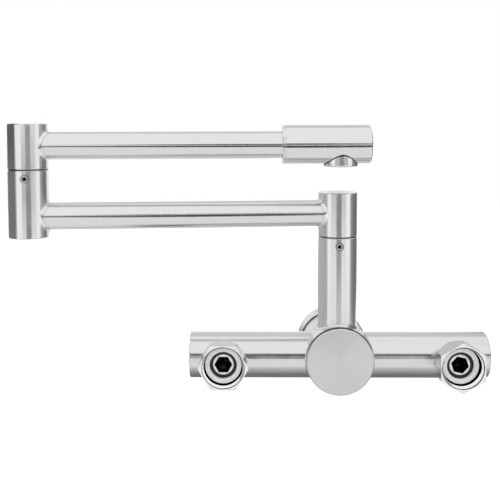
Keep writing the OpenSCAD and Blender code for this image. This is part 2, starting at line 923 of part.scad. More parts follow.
// Disc that opens the ports, and the carrier that the ball of the stem moves along Z
module at_moving_disc() {
    on_valve_axis() translate([0, -disc_rest_z, 0]) children();
}

module moving_disc() {
    color(ceramic_tone) at_moving_disc() difference() {
        rod(moving_disc_y, moving_disc_y + moving_disc_t, moving_disc_d);
        rod(moving_disc_y - cut, moving_disc_y + moving_disc_t / 2, moving_disc_d / 2);
    }
}

module disc_carrier() {
    pocket_d = ball_d + pocket_gap + pocket_gap;
    color(grey_plastic) difference() {
        at_moving_disc() rod(carrier_y, carrier_y + carrier_t, carrier_d);
        on_valve_axis() rod(carrier_y + carrier_t - carrier_pocket, carrier_y + carrier_t + cut,
            pocket_d);
    }
}

module cartridge_rotor() {
    neck_end = pivot_y + pivot_cover;
    slot_half_w = stem_d / 2 + slot_gap;
    low_swing = (pivot_y - rotor_y) * tan(stick_tilt) + slot_half_w / cos(stick_tilt);
    high_swing = pivot_cover * tan(stick_tilt) + slot_half_w / cos(stick_tilt);
    color(white_plastic) on_valve_axis() difference() {
        union() {
            rod(rotor_y, rotor_y + rotor_flange_t, rotor_flange_d);
            rod(rotor_y + rotor_flange_t - cut, neck_end, rotor_neck_d);
        }
        translate([-slot_half_w, -slot_half_w, rotor_y - cut])
            cube([slot_half_w + slot_half_w, slot_half_w + low_swing, pivot_y - rotor_y + cut]);
        translate([-slot_half_w, -high_swing, pivot_y - joined_gap])
            cube([slot_half_w + slot_half_w, high_swing + slot_half_w, pivot_cover + cut]);
        translate([0, 0, pivot_y]) along_x()
            drill(-rotor_neck_d / 2, rotor_neck_d / 2, pivot_pin_d + joined_gap + joined_gap);
    }
}

module pivot_pin() {
    half_l = rotor_neck_d / 2 - passing_gap;
    color(bright_steel) on_valve_axis() translate([0, 0, pivot_y])
        along_x() rod(-half_l, half_l, pivot_pin_d);
}

module lever_stem() {
    stem_top = pivot_y + dome_r - dome_wall - dome_boss_l + stem_into_boss;
    color(brass_tone) on_valve_axis() difference() {
        union() {
            translate([0, 0, ball_y]) sphere(d = ball_d);
            rod(ball_y, ball_y + ball_d, ball_d / 2);
            rod(ball_y + ball_d / 2, stem_top, stem_d);
        }
        translate([0, 0, pivot_y]) along_x()
            drill(-stem_d / 2, stem_d / 2, pivot_pin_d + running_gap + running_gap);
        rod(stem_top - stud_l, stem_top + cut, stud_d - edge_break);
    }
}

module lever_dome() {
    rim_z = dome_r * cos(dome_cover);
    boss_start = dome_r - dome_wall - dome_boss_l;
    color(steel) on_valve_axis() translate([0, 0, pivot_y]) difference() {
        union() {
            difference() {
                sphere(r = dome_r);
                sphere(r = dome_r - dome_wall);
                rod(rim_z - dome_r - dome_r, rim_z, dome_r + dome_r + cut);
            }
            rod(boss_start, dome_r - dome_wall / 2, dome_boss_d);
        }
        rod(boss_start - cut, boss_start + stem_into_boss + joined_gap,
            stem_d + joined_gap + joined_gap);
        rod(boss_start, dome_r + cut, stud_d + joined_gap);
    }
}

module control_stick() {
    foot = pivot_y + dome_r - joined_gap;
    stem_top = pivot_y + dome_r - dome_wall - dome_boss_l + stem_into_boss;
    color(steel) on_valve_axis() {
        difference() {
            broken_rod(foot - edge_break, foot + stick_l, stick_d, 0, edge_break);
            translate([0, 0, pivot_y]) sphere(r = dome_r + joined_gap);
        }
        rod(stem_top + joined_gap, foot + cut, stud_d);
        rod(stem_top - stud_l + edge_break, foot, stud_d - edge_break - joined_gap - joined_gap);
    }
}

valve_body();
rear_cap();
body_tube(-1);  // body_tube_left
body_tube(1);  // body_tube_right
end_plug(-1);  // end_plug_left
end_plug(1);  // end_plug_right
inlet_boss(-1);  // inlet_boss_left
inlet_boss(1);  // inlet_boss_right
inlet_nipple(-1);  // inlet_nipple_left
inlet_nipple(1);  // inlet_nipple_right
nipple_seal(-1);  // nipple_seal_left
nipple_seal(1);  // nipple_seal_right
seal_washer(-1);  // seal_washer_left
seal_washer(1);  // seal_washer_right
union_nut(-1);  // union_nut_left
union_nut(1);  // union_nut_right
riser_tube();
riser_bush();
riser_set_screw();
riser_slip_washer();
cartridge_base();
cartridge_seals();
fixed_disc();
cartridge_shell();
cartridge_nut();
front_cap();
moving_disc();
disc_carrier();
cartridge_rotor();
pivot_pin();
lever_stem();
lever_dome();
control_stick();
riser_head();
riser_head_plug();
riser_spigot();
riser_o_rings();
lower_arm();
elbow_sleeve();
elbow_bottom_plug();
elbow_bush();
elbow_set_screw();
elbow_slip_washer();
elbow_head();
elbow_head_plug();
elbow_spigot();
elbow_o_rings();
upper_arm();
spout_head();
spout_end_ring();
spout_end_plug();
outlet_collar();
aerator_housing();
aerator_screen();
flow_regulator();
aerator_washer();
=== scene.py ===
import json
import math

import bpy
from mathutils import Matrix, Vector


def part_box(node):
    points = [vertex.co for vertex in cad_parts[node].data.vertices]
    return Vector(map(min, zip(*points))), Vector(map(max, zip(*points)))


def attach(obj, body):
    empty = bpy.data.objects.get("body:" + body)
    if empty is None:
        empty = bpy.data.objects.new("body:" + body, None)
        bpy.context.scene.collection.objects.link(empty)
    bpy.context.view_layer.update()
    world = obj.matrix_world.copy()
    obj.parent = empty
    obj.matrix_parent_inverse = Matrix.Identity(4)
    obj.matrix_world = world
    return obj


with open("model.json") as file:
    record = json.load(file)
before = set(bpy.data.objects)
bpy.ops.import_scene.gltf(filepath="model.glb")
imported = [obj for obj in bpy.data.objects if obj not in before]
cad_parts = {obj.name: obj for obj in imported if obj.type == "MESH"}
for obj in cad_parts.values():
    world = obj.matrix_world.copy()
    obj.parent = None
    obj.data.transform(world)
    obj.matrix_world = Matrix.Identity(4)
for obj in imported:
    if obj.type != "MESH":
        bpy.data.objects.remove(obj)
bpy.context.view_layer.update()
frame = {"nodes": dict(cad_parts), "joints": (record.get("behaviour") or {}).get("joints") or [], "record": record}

MM = 0.001
X, Y, Z = Vector((1, 0, 0)), Vector((0, 1, 0)), Vector((0, 0, 1))


# Sizes and axes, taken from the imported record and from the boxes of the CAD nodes
def span(node, side):
    """Where the box of a node starts and ends along x, y or z."""
    low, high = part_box(node)
    return getattr(low, side), getattr(high, side)


def middle(node, side):
    start, end = span(node, side)
    return (start + end) / 2


def half(node, side):
    start, end = span(node, side)
    return (end - start) / 2


def centre_of(node):
    low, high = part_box(node)
    return (low + high) / 2


joints = {joint["name"]: joint for joint in frame["joints"]}
mounts = {mount["name"]: mount for mount in frame["record"]["mounts"]}
riser = Vector(joints["riser_swivel"]["pos_m"])
elbow = Vector(joints["elbow_swivel"]["pos_m"])
outlet = Vector(mounts["outlet"]["pos_m"])
valve = Vector((0, riser.y, 0))
inlets = {side: Vector((mounts[f"inlet_{side}"]["pos_m"][0], 0, 0)) for side in ("left", "right")}
lower_start = Vector((riser.x, riser.y, middle("lower_arm", "z")))
lower_end = Vector((elbow.x, elbow.y, lower_start.z))
upper_start = Vector((elbow.x, elbow.y, middle("upper_arm", "z")))
lower_way = Vector((elbow.x - riser.x, elbow.y - riser.y, 0)).normalized()
upper_way = Vector((outlet.x - elbow.x, outlet.y - elbow.y, 0)).normalized()

# Each axis that a piece is worked round: a point on it, and its direction
AXES = {
    "valve": (valve, Y), "tube": (valve, X), "riser": (riser, Z), "elbow": (elbow, Z),
    "outlet": (outlet, Z), "lower": (lower_start, lower_way), "upper": (upper_start, upper_way),
    "inlet_left": (inlets["left"], Y), "inlet_right": (inlets["right"], Y),
    "screw_riser": (centre_of("riser_set_screw"), Y),
    "screw_elbow": (centre_of("elbow_set_screw"), Y),
}

# Radii, and faces along the axis that their piece is worked round
arm_r = half("lower_arm", "z")
column_r = half("riser_tube", "x")
tube_r = half("body_tube_left", "z")
valve_r = half("valve_body", "x")
disc_r = half("rear_cap", "x")
screw_r = half("elbow_set_screw", "z")
head_r = span("spout_head", "z")[1] - upper_start.z
valve_rear, valve_front = (face - riser.y for face in span("valve_body", "y"))
disc_rear = span("rear_cap", "y")[0] - riser.y
nut_mouth = span("union_nut_left", "y")[0]
nipple_mouth = span("inlet_nipple_left", "y")[0]
washer_face = span("seal_washer_left", "y")[0]


# Small helpers for shader trees
def add(tree, kind, **settings):
    made = tree.nodes.new(kind)
    for name, value in settings.items():
        setattr(made, name, value)
    return made


def put(tree, node, socket, value):
    """Links a socket, or gives it a value."""
    if isinstance(value, bpy.types.NodeSocket):
        tree.links.new(value, node.inputs[socket])
    else:
        node.inputs[socket].default_value = value


def vector_math(tree, operation, first, second=None, scale=None):
    made = add(tree, "ShaderNodeVectorMath", operation=operation)
    put(tree, made, 0, first)
    if second is not None:
        put(tree, made, 1, second)
    if scale is not None:
        put(tree, made, "Scale", scale)
    return made.outputs["Value" if operation in ("DOT_PRODUCT", "LENGTH") else "Vector"]


def math_node(tree, operation, first, second):
    made = add(tree, "ShaderNodeMath", operation=operation)
    put(tree, made, 0, first)
    put(tree, made, 1, second)
    return made.outputs[0]


def product(tree, first, *others):
    for other in others:
        first = math_node(tree, "MULTIPLY", first, other)
    return first


def blended(tree, amount, low, high):
    made = add(tree, "ShaderNodeMix", data_type="RGBA")
    put(tree, made, "Factor", amount)
    put(tree, made, "A", low)
    put(tree, made, "B", high)
    return made.outputs["Result"]


def mapped(tree, value, low, high, start, end):
    """Goes from low to high while the value goes from start to end."""
    made = add(tree, "ShaderNodeMapRange", clamp=True)
    put(tree, made, "Value", value)
    put(tree, made, "From Min", start)
    put(tree, made, "From Max", end)
    put(tree, made, "To Min", low)
    put(tree, made, "To Max", high)
    return made.outputs["Result"]


def noise(tree, place, scale, detail, rough, fourth=None):
    """Soft noise of about 0 to 1; fourth gives it one more coordinate."""
    made = add(tree, "ShaderNodeTexNoise", noise_dimensions="3D" if fourth is None else "4D")
    put(tree, made, "Vector", place)
    put(tree, made, "Scale", scale)
    put(tree, made, "Detail", detail)
    put(tree, made, "Roughness", rough)
    if fourth is not None:
        put(tree, made, "W", fourth)
    return made.outputs["Fac"]


def bumped(tree, height, strength, depth):
    made = add(tree, "ShaderNodeBump")
    put(tree, made, "Strength", strength)
    put(tree, made, "Distance", depth)
    put(tree, made, "Height", height)
    return made.outputs["Normal"]


def object_place(tree):
    return add(tree, "ShaderNodeTexCoord").outputs["Object"]


def new_material(name):
    material = bpy.data.materials.new(name)
    material.use_nodes = True
    tree = material.node_tree
    return material, tree, tree.nodes["Principled BSDF"]


def tinted(tone, share):
    return tuple(min(1.0, channel * share) for channel in tone)


def solid(tone, share=1.0):
    """A tone, made lighter or darker by a share, as a colour socket takes it."""
    return (*tinted(tone, share), 1)


def grey(level):
    return solid((level, level, level))


WHITE = grey(1.0)
made_materials = {}

# Metal: noise in changes per metre, and shares of a finish's own values
STEEL = (0.785, 0.770, 0.778)
BRIGHT = (0.80, 0.787, 0.793)
BRASS = (0.74, 0.56, 0.27)
ROUND_SCALE = 45.0          # the rings' changes round the axis
RING_DETAIL, RING_ROUGH = 4.0, 0.62
CLOUD_SCALE = 70.0          # the mottling
CLOUD_DETAIL, CLOUD_ROUGH = 3.0, 0.5
RING_SHARE = 0.6            # of the rings in the colour; the rest is mottling
METAL_SWING = (0.35, 0.65)  # the stretch of the noise that is used
GLOSSY_SHARE, DULL_SHARE = 0.88, 1.18
RING_BUMP = 0.25
END_GRAIN = 0.4             # weight of the outward direction, which sets the grain of an end
SIDE_FADE = (-0.3, 0.5)     # how far a surface faces a side, from none of its zone to all
SEAM_LEVEL = 0.015          # grey of the contact shadow beside another piece
FAR = 1.0                   # further than any piece reaches from its axis or along it


def painted_shade(level, low=-FAR, high=FAR, inner=-FAR, outer=FAR, side=None):
    """Painted shade on a piece, in metres: low to high along its axis, inner to outer out from it.

    With a side, the painted shade fades out on the other side.
    """
    return level, (low, high, inner, outer), side


def in_painted_shade(tree, along, radius, outward, limits, side):
    """1 inside painted shade and 0 outside it."""
    low, high, inner, outer = limits
    inside = product(tree, math_node(tree, "GREATER_THAN", along, low),
                     math_node(tree, "LESS_THAN", along, high),
                     math_node(tree, "GREATER_THAN", radius, inner),
                     math_node(tree, "LESS_THAN", radius, outer))
    if side is None:
        return inside
    facing = vector_math(tree, "DOT_PRODUCT", outward, side)
    return product(tree, inside, mapped(tree, facing, 0.0, 1.0, *SIDE_FADE))


def near_axis(tree, place, axis, reach):
    """1 nearer to an axis than the reach and 0 further from it."""
    origin, way = (tuple(part) for part in AXES[axis])
    offset = vector_math(tree, "SUBTRACT", place, origin)
    distance = vector_math(tree, "LENGTH", vector_math(tree, "CROSS_PRODUCT", offset, way))
    return math_node(tree, "LESS_THAN", distance, reach)


def turned_metal(kind, axis, tone=STEEL, rough=0.21, stretch=0.86, pitch=0.5 * MM,
                 depth=0.004 * MM, mottle=0.02, painted_shades=(), painted_shadow_near=None):
    """Metal worked round an axis: fine rings on its side and on its ends, with a little mottling.

    stretch draws its gloss out, pitch and depth are those of the rings, and mottle is how far its
    colour changes. Near another axis, within a given radius, it has a painted contact shadow.
    """
    key = f"{kind}_{axis}"
    if key in made_materials:
        return made_materials[key]
    origin, way = (tuple(part) for part in AXES[axis])
    material, tree, shader = new_material(key)
    place = object_place(tree)
    offset = vector_math(tree, "SUBTRACT", place, origin)
    along = vector_math(tree, "DOT_PRODUCT", offset, way)
    radial = vector_math(tree, "SUBTRACT", offset, vector_math(tree, "SCALE", way, scale=along))
    radius = vector_math(tree, "LENGTH", radial)
    outward = vector_math(tree, "NORMALIZE", radial)

    # The rings change slowly round the axis, and quickly along it and out from it
    slow = vector_math(tree, "SCALE", radial, scale=ROUND_SCALE)
    quick = vector_math(tree, "SCALE", way, scale=product(tree, along, 1 / pitch))
    rings = noise(tree, vector_math(tree, "ADD", slow, quick), 1.0, RING_DETAIL, RING_ROUGH,
                  fourth=product(tree, radius, 1 / pitch))
    cloud = noise(tree, place, CLOUD_SCALE, CLOUD_DETAIL, CLOUD_ROUGH)
    both = math_node(tree, "ADD", product(tree, rings, RING_SHARE),
                     product(tree, cloud, 1 - RING_SHARE))
    colour = blended(tree, mapped(tree, both, 0.0, 1.0, *METAL_SWING),
                     solid(tone, 1 - mottle), solid(tone, 1 + mottle))

    # Painted shade: each listed area is darkened to its grey level
    for level, limits, side in painted_shades:
        inside = in_painted_shade(tree, along, radius, outward, limits, side)
        colour = blended(tree, inside, colour, grey(level))
    # Painted contact shadow within a radius of another axis
    if painted_shadow_near is not None:
        colour = blended(tree, near_axis(tree, place, *painted_shadow_near), colour, grey(SEAM_LEVEL))

    # The gloss is drawn out along the axis on a side, and away from the axis on an end
    grain = vector_math(tree, "ADD", way, vector_math(tree, "SCALE", outward, scale=END_GRAIN))
    turn = add(tree, "ShaderNodeVectorTransform", vector_type="VECTOR",
               convert_from="OBJECT", convert_to="WORLD")
    put(tree, turn, "Vector", grain)
    put(tree, shader, "Base Color", colour)
    put(tree, shader, "Metallic", 1.0)
    put(tree, shader, "Roughness",
        mapped(tree, both, rough * GLOSSY_SHARE, rough * DULL_SHARE, *METAL_SWING))
    put(tree, shader, "Anisotropic", stretch)
    put(tree, shader, "Tangent", turn.outputs[0])
    put(tree, shader, "Normal", bumped(tree, rings, RING_BUMP, depth))
    made_materials[key] = material
    return material


# Rubber, plastic, fibre and ceramic
GRAIN_DETAIL, GRAIN_ROUGH = 4.0, 0.6
GRAIN_SWING = (0.3, 0.7)           # the stretch of the noise that is used
SMOOTH_SHARE, MATT_SHARE = 0.85, 1.15
SPOT_GRAINS = 1.6                  # size of a speckle's cell, in grains
SPOT_CORE, SPOT_EDGE = 0.08, 0.34  # a speckle fades between these shares of its cell


def plain_stuff(name, tone, rough, grain, strength, depth, spread, speckle=None):
    """A material with fine grain in its colour, roughness and height, and speckles if it has them."""
    if name in made_materials:
        return made_materials[name]
    material, tree, shader = new_material(name)
    place = object_place(tree)
    amount = noise(tree, place, 1 / grain, GRAIN_DETAIL, GRAIN_ROUGH)
    height = amount
    colour = blended(tree, mapped(tree, amount, 0.0, 1.0, *GRAIN_SWING),
                     solid(tone, 1 - spread), solid(tone, 1 + spread))
    if speckle is not None:
        cells = add(tree, "ShaderNodeTexVoronoi")
        put(tree, cells, "Vector", place)
        put(tree, cells, "Scale", 1 / (grain * SPOT_GRAINS))
        spots = mapped(tree, cells.outputs["Distance"], 1.0, 0.0, SPOT_CORE, SPOT_EDGE)
        colour = blended(tree, spots, colour, solid(speckle))
        height = math_node(tree, "SUBTRACT", amount, spots)
    put(tree, shader, "Base Color", colour)
    put(tree, shader, "Roughness",
        mapped(tree, amount, rough * SMOOTH_SHARE, rough * MATT_SHARE, *GRAIN_SWING))
    put(tree, shader, "Normal", bumped(tree, height, strength, depth))
    made_materials[name] = material
    return material


# The metals, each made once for an axis, and the sides of it on which painted shade lies
SHADE_ABOVE = (0.1, 0.0, 0.99)
SHADE_ABOVE_LEFT = (-0.35, 0.0, 0.94)
SHADE_LEFT = (-0.8, 0.0, 0.6)


def steel(axis):
    return turned_metal("brushed_steel", axis)


def drawn(axis):
    return turned_metal("drawn_steel", axis, rough=0.17, stretch=0.94, depth=0.003 * MM)


def wide_drawn(axis):
    return turned_metal("wide_drawn_steel", axis, rough=0.23, stretch=0.95, depth=0.003 * MM)


def valve_steel(axis):
    """Brushed steel with painted shade, a dark line on its end above the rear disc."""
    line = painted_shade(0.08, high=valve_rear + 0.35 * MM, inner=disc_r - 0.2 * MM, side=SHADE_ABOVE)
    return turned_metal("valve_steel", axis, painted_shades=[line])


def satin(axis):
    """The rear disc, finer than the rest, with painted shade on the foot of its rim above."""
    foot = painted_shade(0.14, low=disc_rear + 0.7 * MM, inner=disc_r - 0.05 * MM, side=SHADE_ABOVE)
    return turned_metal("satin_steel", axis, tone=tinted(STEEL, 0.93), rough=0.3, stretch=0.3,
                        painted_shades=[foot])


def cap_steel(axis):
    """The front trim cap, with painted shadow on its upper left where it meets the valve body."""
    seam_shadow = painted_shade(0.01, high=valve_front + 1.2 * MM, outer=valve_r + 0.5 * MM, side=SHADE_LEFT)
    return turned_metal("cap_steel", axis, painted_shades=[seam_shadow])


def collar_steel(axis):
    """The outlet collar, with a painted contact shadow where it meets the spout head."""
    return turned_metal("collar_steel", axis, rough=0.17, stretch=0.8, depth=0.003 * MM,
                        painted_shadow_near=("upper", head_r + 0.5 * MM))


def bright(axis):
    return turned_metal("machined_steel", axis, tone=BRIGHT, rough=0.13, stretch=0.3,
                        pitch=0.4 * MM, depth=0.006 * MM, mottle=0.03)


def nipple_steel(axis):
    """Machined steel, with painted shade inside its key way."""
    key_way_shade = painted_shade(0.012, low=nipple_mouth + 1.2 * MM, outer=5.8 * MM)
    return turned_metal("nipple_steel", axis, tone=BRIGHT, rough=0.13, stretch=0.2,
                        pitch=0.4 * MM, depth=0.006 * MM, mottle=0.03, painted_shades=[key_way_shade])


def nut_steel(axis):
    """Polished steel, with painted shade beside the washer, at the mouth and on its top faces."""
    # Painted shade: dark in the gap beside the washer and in the mouth, grey on the top faces
    washer_gap_shade = painted_shade(0.01, low=washer_face - 1.1 * MM, inner=11.7 * MM, outer=13.45 * MM)
    mouth = painted_shade(0.12, low=nut_mouth + 0.3 * MM, high=nut_mouth + 1.4 * MM, inner=12.4 * MM,
                 outer=13.5 * MM)
    top = painted_shade(0.58, low=nut_mouth + 0.5 * MM, inner=13.6 * MM, side=SHADE_ABOVE_LEFT)
    return turned_metal("union_steel", axis, tone=tinted(BRIGHT, 1.15), rough=0.12, stretch=0.2,
                        pitch=0.7 * MM, depth=0.008 * MM, mottle=0.04,
                        painted_shades=[washer_gap_shade, mouth, top])


def screw_steel(axis):
    """A set screw, with painted shade in its key socket and round its rim."""
    # Painted shade in the key socket and round the rim
    socket = painted_shade(0.03, outer=1.3 * MM)
    rim_shade = painted_shade(0.12, inner=screw_r - 0.35 * MM)
    return turned_metal("screw_steel", axis, tone=tinted(BRIGHT, 0.95), rough=0.36, stretch=0.1,
                        pitch=0.6 * MM, depth=0.01 * MM, mottle=0.05, painted_shades=[socket, rim_shade])


def weld_metal(axis):
    return turned_metal("weld_bead", axis, tone=BRIGHT, rough=0.16, stretch=0.0, pitch=1.2 * MM,
                        depth=0.02 * MM, mottle=0.03)


def brass(axis):
    return turned_metal("turned_brass", axis, tone=BRASS, rough=0.24, stretch=0.5,
                        depth=0.01 * MM, mottle=0.06)


# The other materials, which have no axis
def rubber():
    return plain_stuff("black_rubber", (0.012, 0.012, 0.013), rough=0.48, grain=0.6 * MM,
                       strength=0.3, depth=0.03 * MM, spread=0.25)


def fibre():
    return plain_stuff("seal_fibre", (0.93, 0.925, 0.915), rough=0.6, grain=0.9 * MM,
                       strength=0.5, depth=0.08 * MM, spread=0.06, speckle=(0.66, 0.655, 0.645))


def white_plastic():
    return plain_stuff("white_plastic", (0.78, 0.78, 0.765), rough=0.38, grain=0.8 * MM,
                       strength=0.2, depth=0.02 * MM, spread=0.03)


def black_plastic():
    return plain_stuff("black_plastic", (0.01, 0.01, 0.01), rough=0.5, grain=0.8 * MM,
                       strength=0.2, depth=0.02 * MM, spread=0.1)


def grey_plastic():
    return plain_stuff("grey_plastic", (0.30, 0.305, 0.31), rough=0.42, grain=0.8 * MM,
                       strength=0.2, depth=0.02 * MM, spread=0.05)


def ceramic():
    return plain_stuff("ceramic", (0.86, 0.855, 0.83), rough=0.16, grain=1.2 * MM,
                       strength=0.1, depth=0.01 * MM, spread=0.02)


# What each CAD node is made of and, for metal, the axis that it is worked round
FINISH = {
    "valve_body": (valve_steel, "valve"), "rear_cap": (satin, "valve"),
    "front_cap": (cap_steel, "valve"), "lever_dome": (steel, "valve"),
    "control_stick": (steel, "valve"),
    "body_tube_left": (wide_drawn, "tube"), "body_tube_right": (wide_drawn, "tube"),
    "end_plug_left": (wide_drawn, "tube"), "end_plug_right": (wide_drawn, "tube"),
    "riser_tube": (steel, "riser"), "riser_head": (steel, "riser"),
    "riser_head_plug": (steel, "riser"),
    "elbow_sleeve": (steel, "elbow"), "elbow_bottom_plug": (steel, "elbow"),
    "elbow_head": (steel, "elbow"), "elbow_head_plug": (steel, "elbow"),
    "lower_arm": (drawn, "lower"), "upper_arm": (drawn, "upper"),
    "spout_head": (drawn, "upper"), "spout_end_plug": (drawn, "upper"),
    "spout_end_ring": (bright, "upper"), "outlet_collar": (collar_steel, "outlet"),
    "aerator_screen": (bright, "outlet"), "pivot_pin": (bright, "valve"),
    "riser_set_screw": (screw_steel, "screw_riser"),
    "elbow_set_screw": (screw_steel, "screw_elbow"),
    "inlet_boss_left": (steel, "inlet_left"), "inlet_boss_right": (steel, "inlet_right"),
    "union_nut_left": (nut_steel, "inlet_left"), "union_nut_right": (nut_steel, "inlet_right"),
    "inlet_nipple_left": (nipple_steel, "inlet_left"),
    "inlet_nipple_right": (nipple_steel, "inlet_right"),
    "cartridge_nut": (brass, "valve"), "lever_stem": (brass, "valve"),
    "riser_spigot": (brass, "riser"), "elbow_spigot": (brass, "elbow"),
    "nipple_seal_left": (rubber,), "nipple_seal_right": (rubber,), "cartridge_seals": (rubber,),
    "riser_o_rings": (rubber,), "elbow_o_rings": (rubber,), "aerator_washer": (rubber,),
    "seal_washer_left": (fibre,), "seal_washer_right": (fibre,),
    "riser_bush": (white_plastic,), "elbow_bush": (white_plastic,),
    "cartridge_base": (white_plastic,), "cartridge_rotor": (white_plastic,),
    "flow_regulator": (white_plastic,), "cartridge_shell": (grey_plastic,),
    "disc_carrier": (grey_plastic,), "aerator_housing": (grey_plastic,),
    "riser_slip_washer": (black_plastic,), "elbow_slip_washer": (black_plastic,),
    "fixed_disc": (ceramic,), "moving_disc": (ceramic,),
}
for name, piece in frame["nodes"].items():
    finish, *worked_round = FINISH[name]
    if not piece.material_slots:
        piece.data.materials.append(None)
    for slot in piece.material_slots:
        slot.material = finish(*worked_round)


# Pieces that are too fine for the solids
def placed(name, data):
    made = bpy.data.objects.new(name, data)
    bpy.context.scene.collection.objects.link(made)
    return made


def mesh_piece(name, points, faces, material, body, smooth):
    mesh = bpy.data.meshes.new(name)
    mesh.from_pydata([tuple(point) for point in points], [], faces)
    mesh.validate()
    for face in mesh.polygons:
        face.use_smooth = smooth
    mesh.materials.append(material)
    piece = placed(name, mesh)
    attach(piece, body)


def closed_rows(rows):
    """Faces that join each ring of points to the next one and the last to the first."""
    count, size = len(rows), len(rows[0])
    points = [point for row in rows for point in row]
    faces = []
    for i in range(count):
        for j in range(size):
            here, after = i * size, (i + 1) % count * size
            beside = (j + 1) % size
            faces.append((here + j, here + beside, after + beside, after + j))
    return points, faces


WELD_STEPS, WELD_BENDS = 96, 6   # points round a weld, and across it
WELD_ROOT = 0.4 * MM             # how deep a weld reaches into its corner


def weld_fillet(name, centre, host, branch, leg, body):
    """Concave bead where a round branch meets a round host at a right angle.

    host and branch are each a direction and a radius, and leg gives the bead's width on a side.
    """
    host_way, host_r = host
    branch_way, branch_r = branch
    side = host_way.cross(branch_way)
    rows = []

    def crossing(radius, turn):
        return math.sqrt(host_r ** 2 - (radius * math.sin(turn)) ** 2)

    for i in range(WELD_STEPS):
        turn = 2 * math.pi * i / WELD_STEPS
        out = host_way * math.cos(turn) + side * math.sin(turn)
        reach = leg(out)
        foot = centre + branch_way * crossing(branch_r + reach, turn) + out * (branch_r + reach)
        corner = centre + branch_way * crossing(branch_r, turn) + out * branch_r
        top = corner + branch_way * reach
        row = []
        for j in range(WELD_BENDS + 1):
            t = j / WELD_BENDS
            row.append(foot * (1 - t) ** 2 + corner * 2 * t * (1 - t) + top * t ** 2)
        row.append(corner - branch_way * WELD_ROOT - out * WELD_ROOT)
        rows.append(row)
    points, faces = closed_rows(rows)
    mesh_piece(name, points, faces, weld_metal("riser"), body, smooth=True)


ARM_LEG = 1.5 * MM
FOOT_LEG = 1.6 * MM
NARROW_LEG, LEG_GROWTH = 0.45, 0.85   # mm: on the wall side, and how much more away from it


def even(width):
    return lambda out: width


def tube_leg(out):
    """Narrow on the wall side and wider away from it."""
    return (NARROW_LEG + LEG_GROWTH * (1 - max(0.0, -out.y)) ** 0.5) * MM


column = (Z, column_r)
weld_fillet("riser_arm_weld", lower_start, column, (lower_way, arm_r), even(ARM_LEG),
            "spout_lower")
weld_fillet("elbow_sleeve_weld", lower_end, column, (-lower_way, arm_r), even(ARM_LEG),
            "spout_lower")
weld_fillet("elbow_head_weld", upper_start, column, (upper_way, arm_r), even(ARM_LEG),
            "spout_upper")
weld_fillet("riser_foot_weld", valve, (Y, valve_r), column, even(FOOT_LEG), "mixer_body")
for label, way in (("left", -X), ("right", X)):
    weld_fillet(f"body_tube_{label}_weld", valve, (Y, valve_r), (way, tube_r), tube_leg,
                "mixer_body")

# The thread of a union nut
THREAD_PITCH = 1.814 * MM
THREAD_ROOT_R, THREAD_CREST_R = 13.17 * MM, 12.35 * MM
THREAD_FOOT_SHARE, THREAD_TOP_SHARE = 0.46, 0.07   # half widths of the ridge, in pitches
THREAD_START = 0.5 * MM   # from the mouth of the nut
THREAD_STOP = 0.4 * MM    # before the washer
THREAD_STEPS = 56         # points in one turn
THREAD_FADE = 14          # steps in which the ridge rises from nothing at each end
THREAD_ROW = 4            # points across the ridge


def union_thread(name, centre, start, end, body, axis):
    """Helical ridge inside the mouth of a union nut."""
    count = int(THREAD_STEPS * ((end - start) / THREAD_PITCH - 1))
    points, faces = [], []
    for i in range(count + 1):
        turn = 2 * math.pi * i / THREAD_STEPS
        ridge = start + THREAD_PITCH / 2 + THREAD_PITCH * i / THREAD_STEPS
        fade = min(1, i / THREAD_FADE, (count - i) / THREAD_FADE)
        crest = THREAD_ROOT_R - (THREAD_ROOT_R - THREAD_CREST_R) * fade
        out = X * math.cos(turn) + Z * math.sin(turn)
        for shift, radius in ((-THREAD_FOOT_SHARE, THREAD_ROOT_R), (-THREAD_TOP_SHARE, crest),
                              (THREAD_TOP_SHARE, crest), (THREAD_FOOT_SHARE, THREAD_ROOT_R)):
            points.append(centre + out * radius + Y * (ridge + shift * THREAD_PITCH))
    for i in range(count):
        for j in range(THREAD_ROW - 1):
            here = i * THREAD_ROW + j
            after = here + THREAD_ROW
            faces.append((here, here + 1, after + 1, after))
    mesh_piece(name, points, faces, nut_steel(axis), body, smooth=False)


for label, centre in inlets.items():
    seat = span(f"seal_washer_{label}", "y")[0]
    union_thread(f"union_thread_{label}", centre, THREAD_START, seat - THREAD_STOP,
                 f"{label}_union_nut", f"inlet_{label}")


# Camera, as fitted to the photograph: pixels, degrees, and mm from the middle of the body tube
FOCAL_PX, FRAME_PX = 751.58, 500
CENTRE_X, CENTRE_Y = 231.628, 169.883
HALF_PX = 0.5        # from the corner of a pixel to its middle
PITCH, YAW, ROLL = 2.911, -0.889, -0.179
EYE_X, EYE_Y, EYE_Z = -61.687, -494.088, 147.793
lens = bpy.data.cameras.new("camera")
lens.sensor_width = 36
lens.lens = FOCAL_PX / FRAME_PX * lens.sensor_width
lens.shift_x = (FRAME_PX / 2 - CENTRE_X - HALF_PX) / FRAME_PX
lens.shift_y = (CENTRE_Y + HALF_PX - FRAME_PX / 2) / FRAME_PX
lens.clip_start, lens.clip_end = 0.01, 50
camera = placed("camera", lens)
camera.matrix_world = (Matrix.Translation(Vector((EYE_X, EYE_Y + riser.y / MM, EYE_Z)) * MM)
                       @ Matrix.Rotation(math.radians(-YAW), 4, "Z")
                       @ Matrix.Rotation(math.radians(90 - PITCH), 4, "X")
                       @ Matrix.Rotation(math.radians(ROLL), 4, "Z"))
bpy.context.scene.camera = camera


# White surroundings and a pale floor
def seen_white(tree):
    """1 for what the camera sees, by itself, in a reflection or through glass, and 0 for light."""
    path = add(tree, "ShaderNodeLightPath").outputs
    return math_node(tree, "MAXIMUM", path["Is Camera Ray"],
                     math_node(tree, "MAXIMUM", path["Is Glossy Ray"], path["Is Transmission Ray"]))


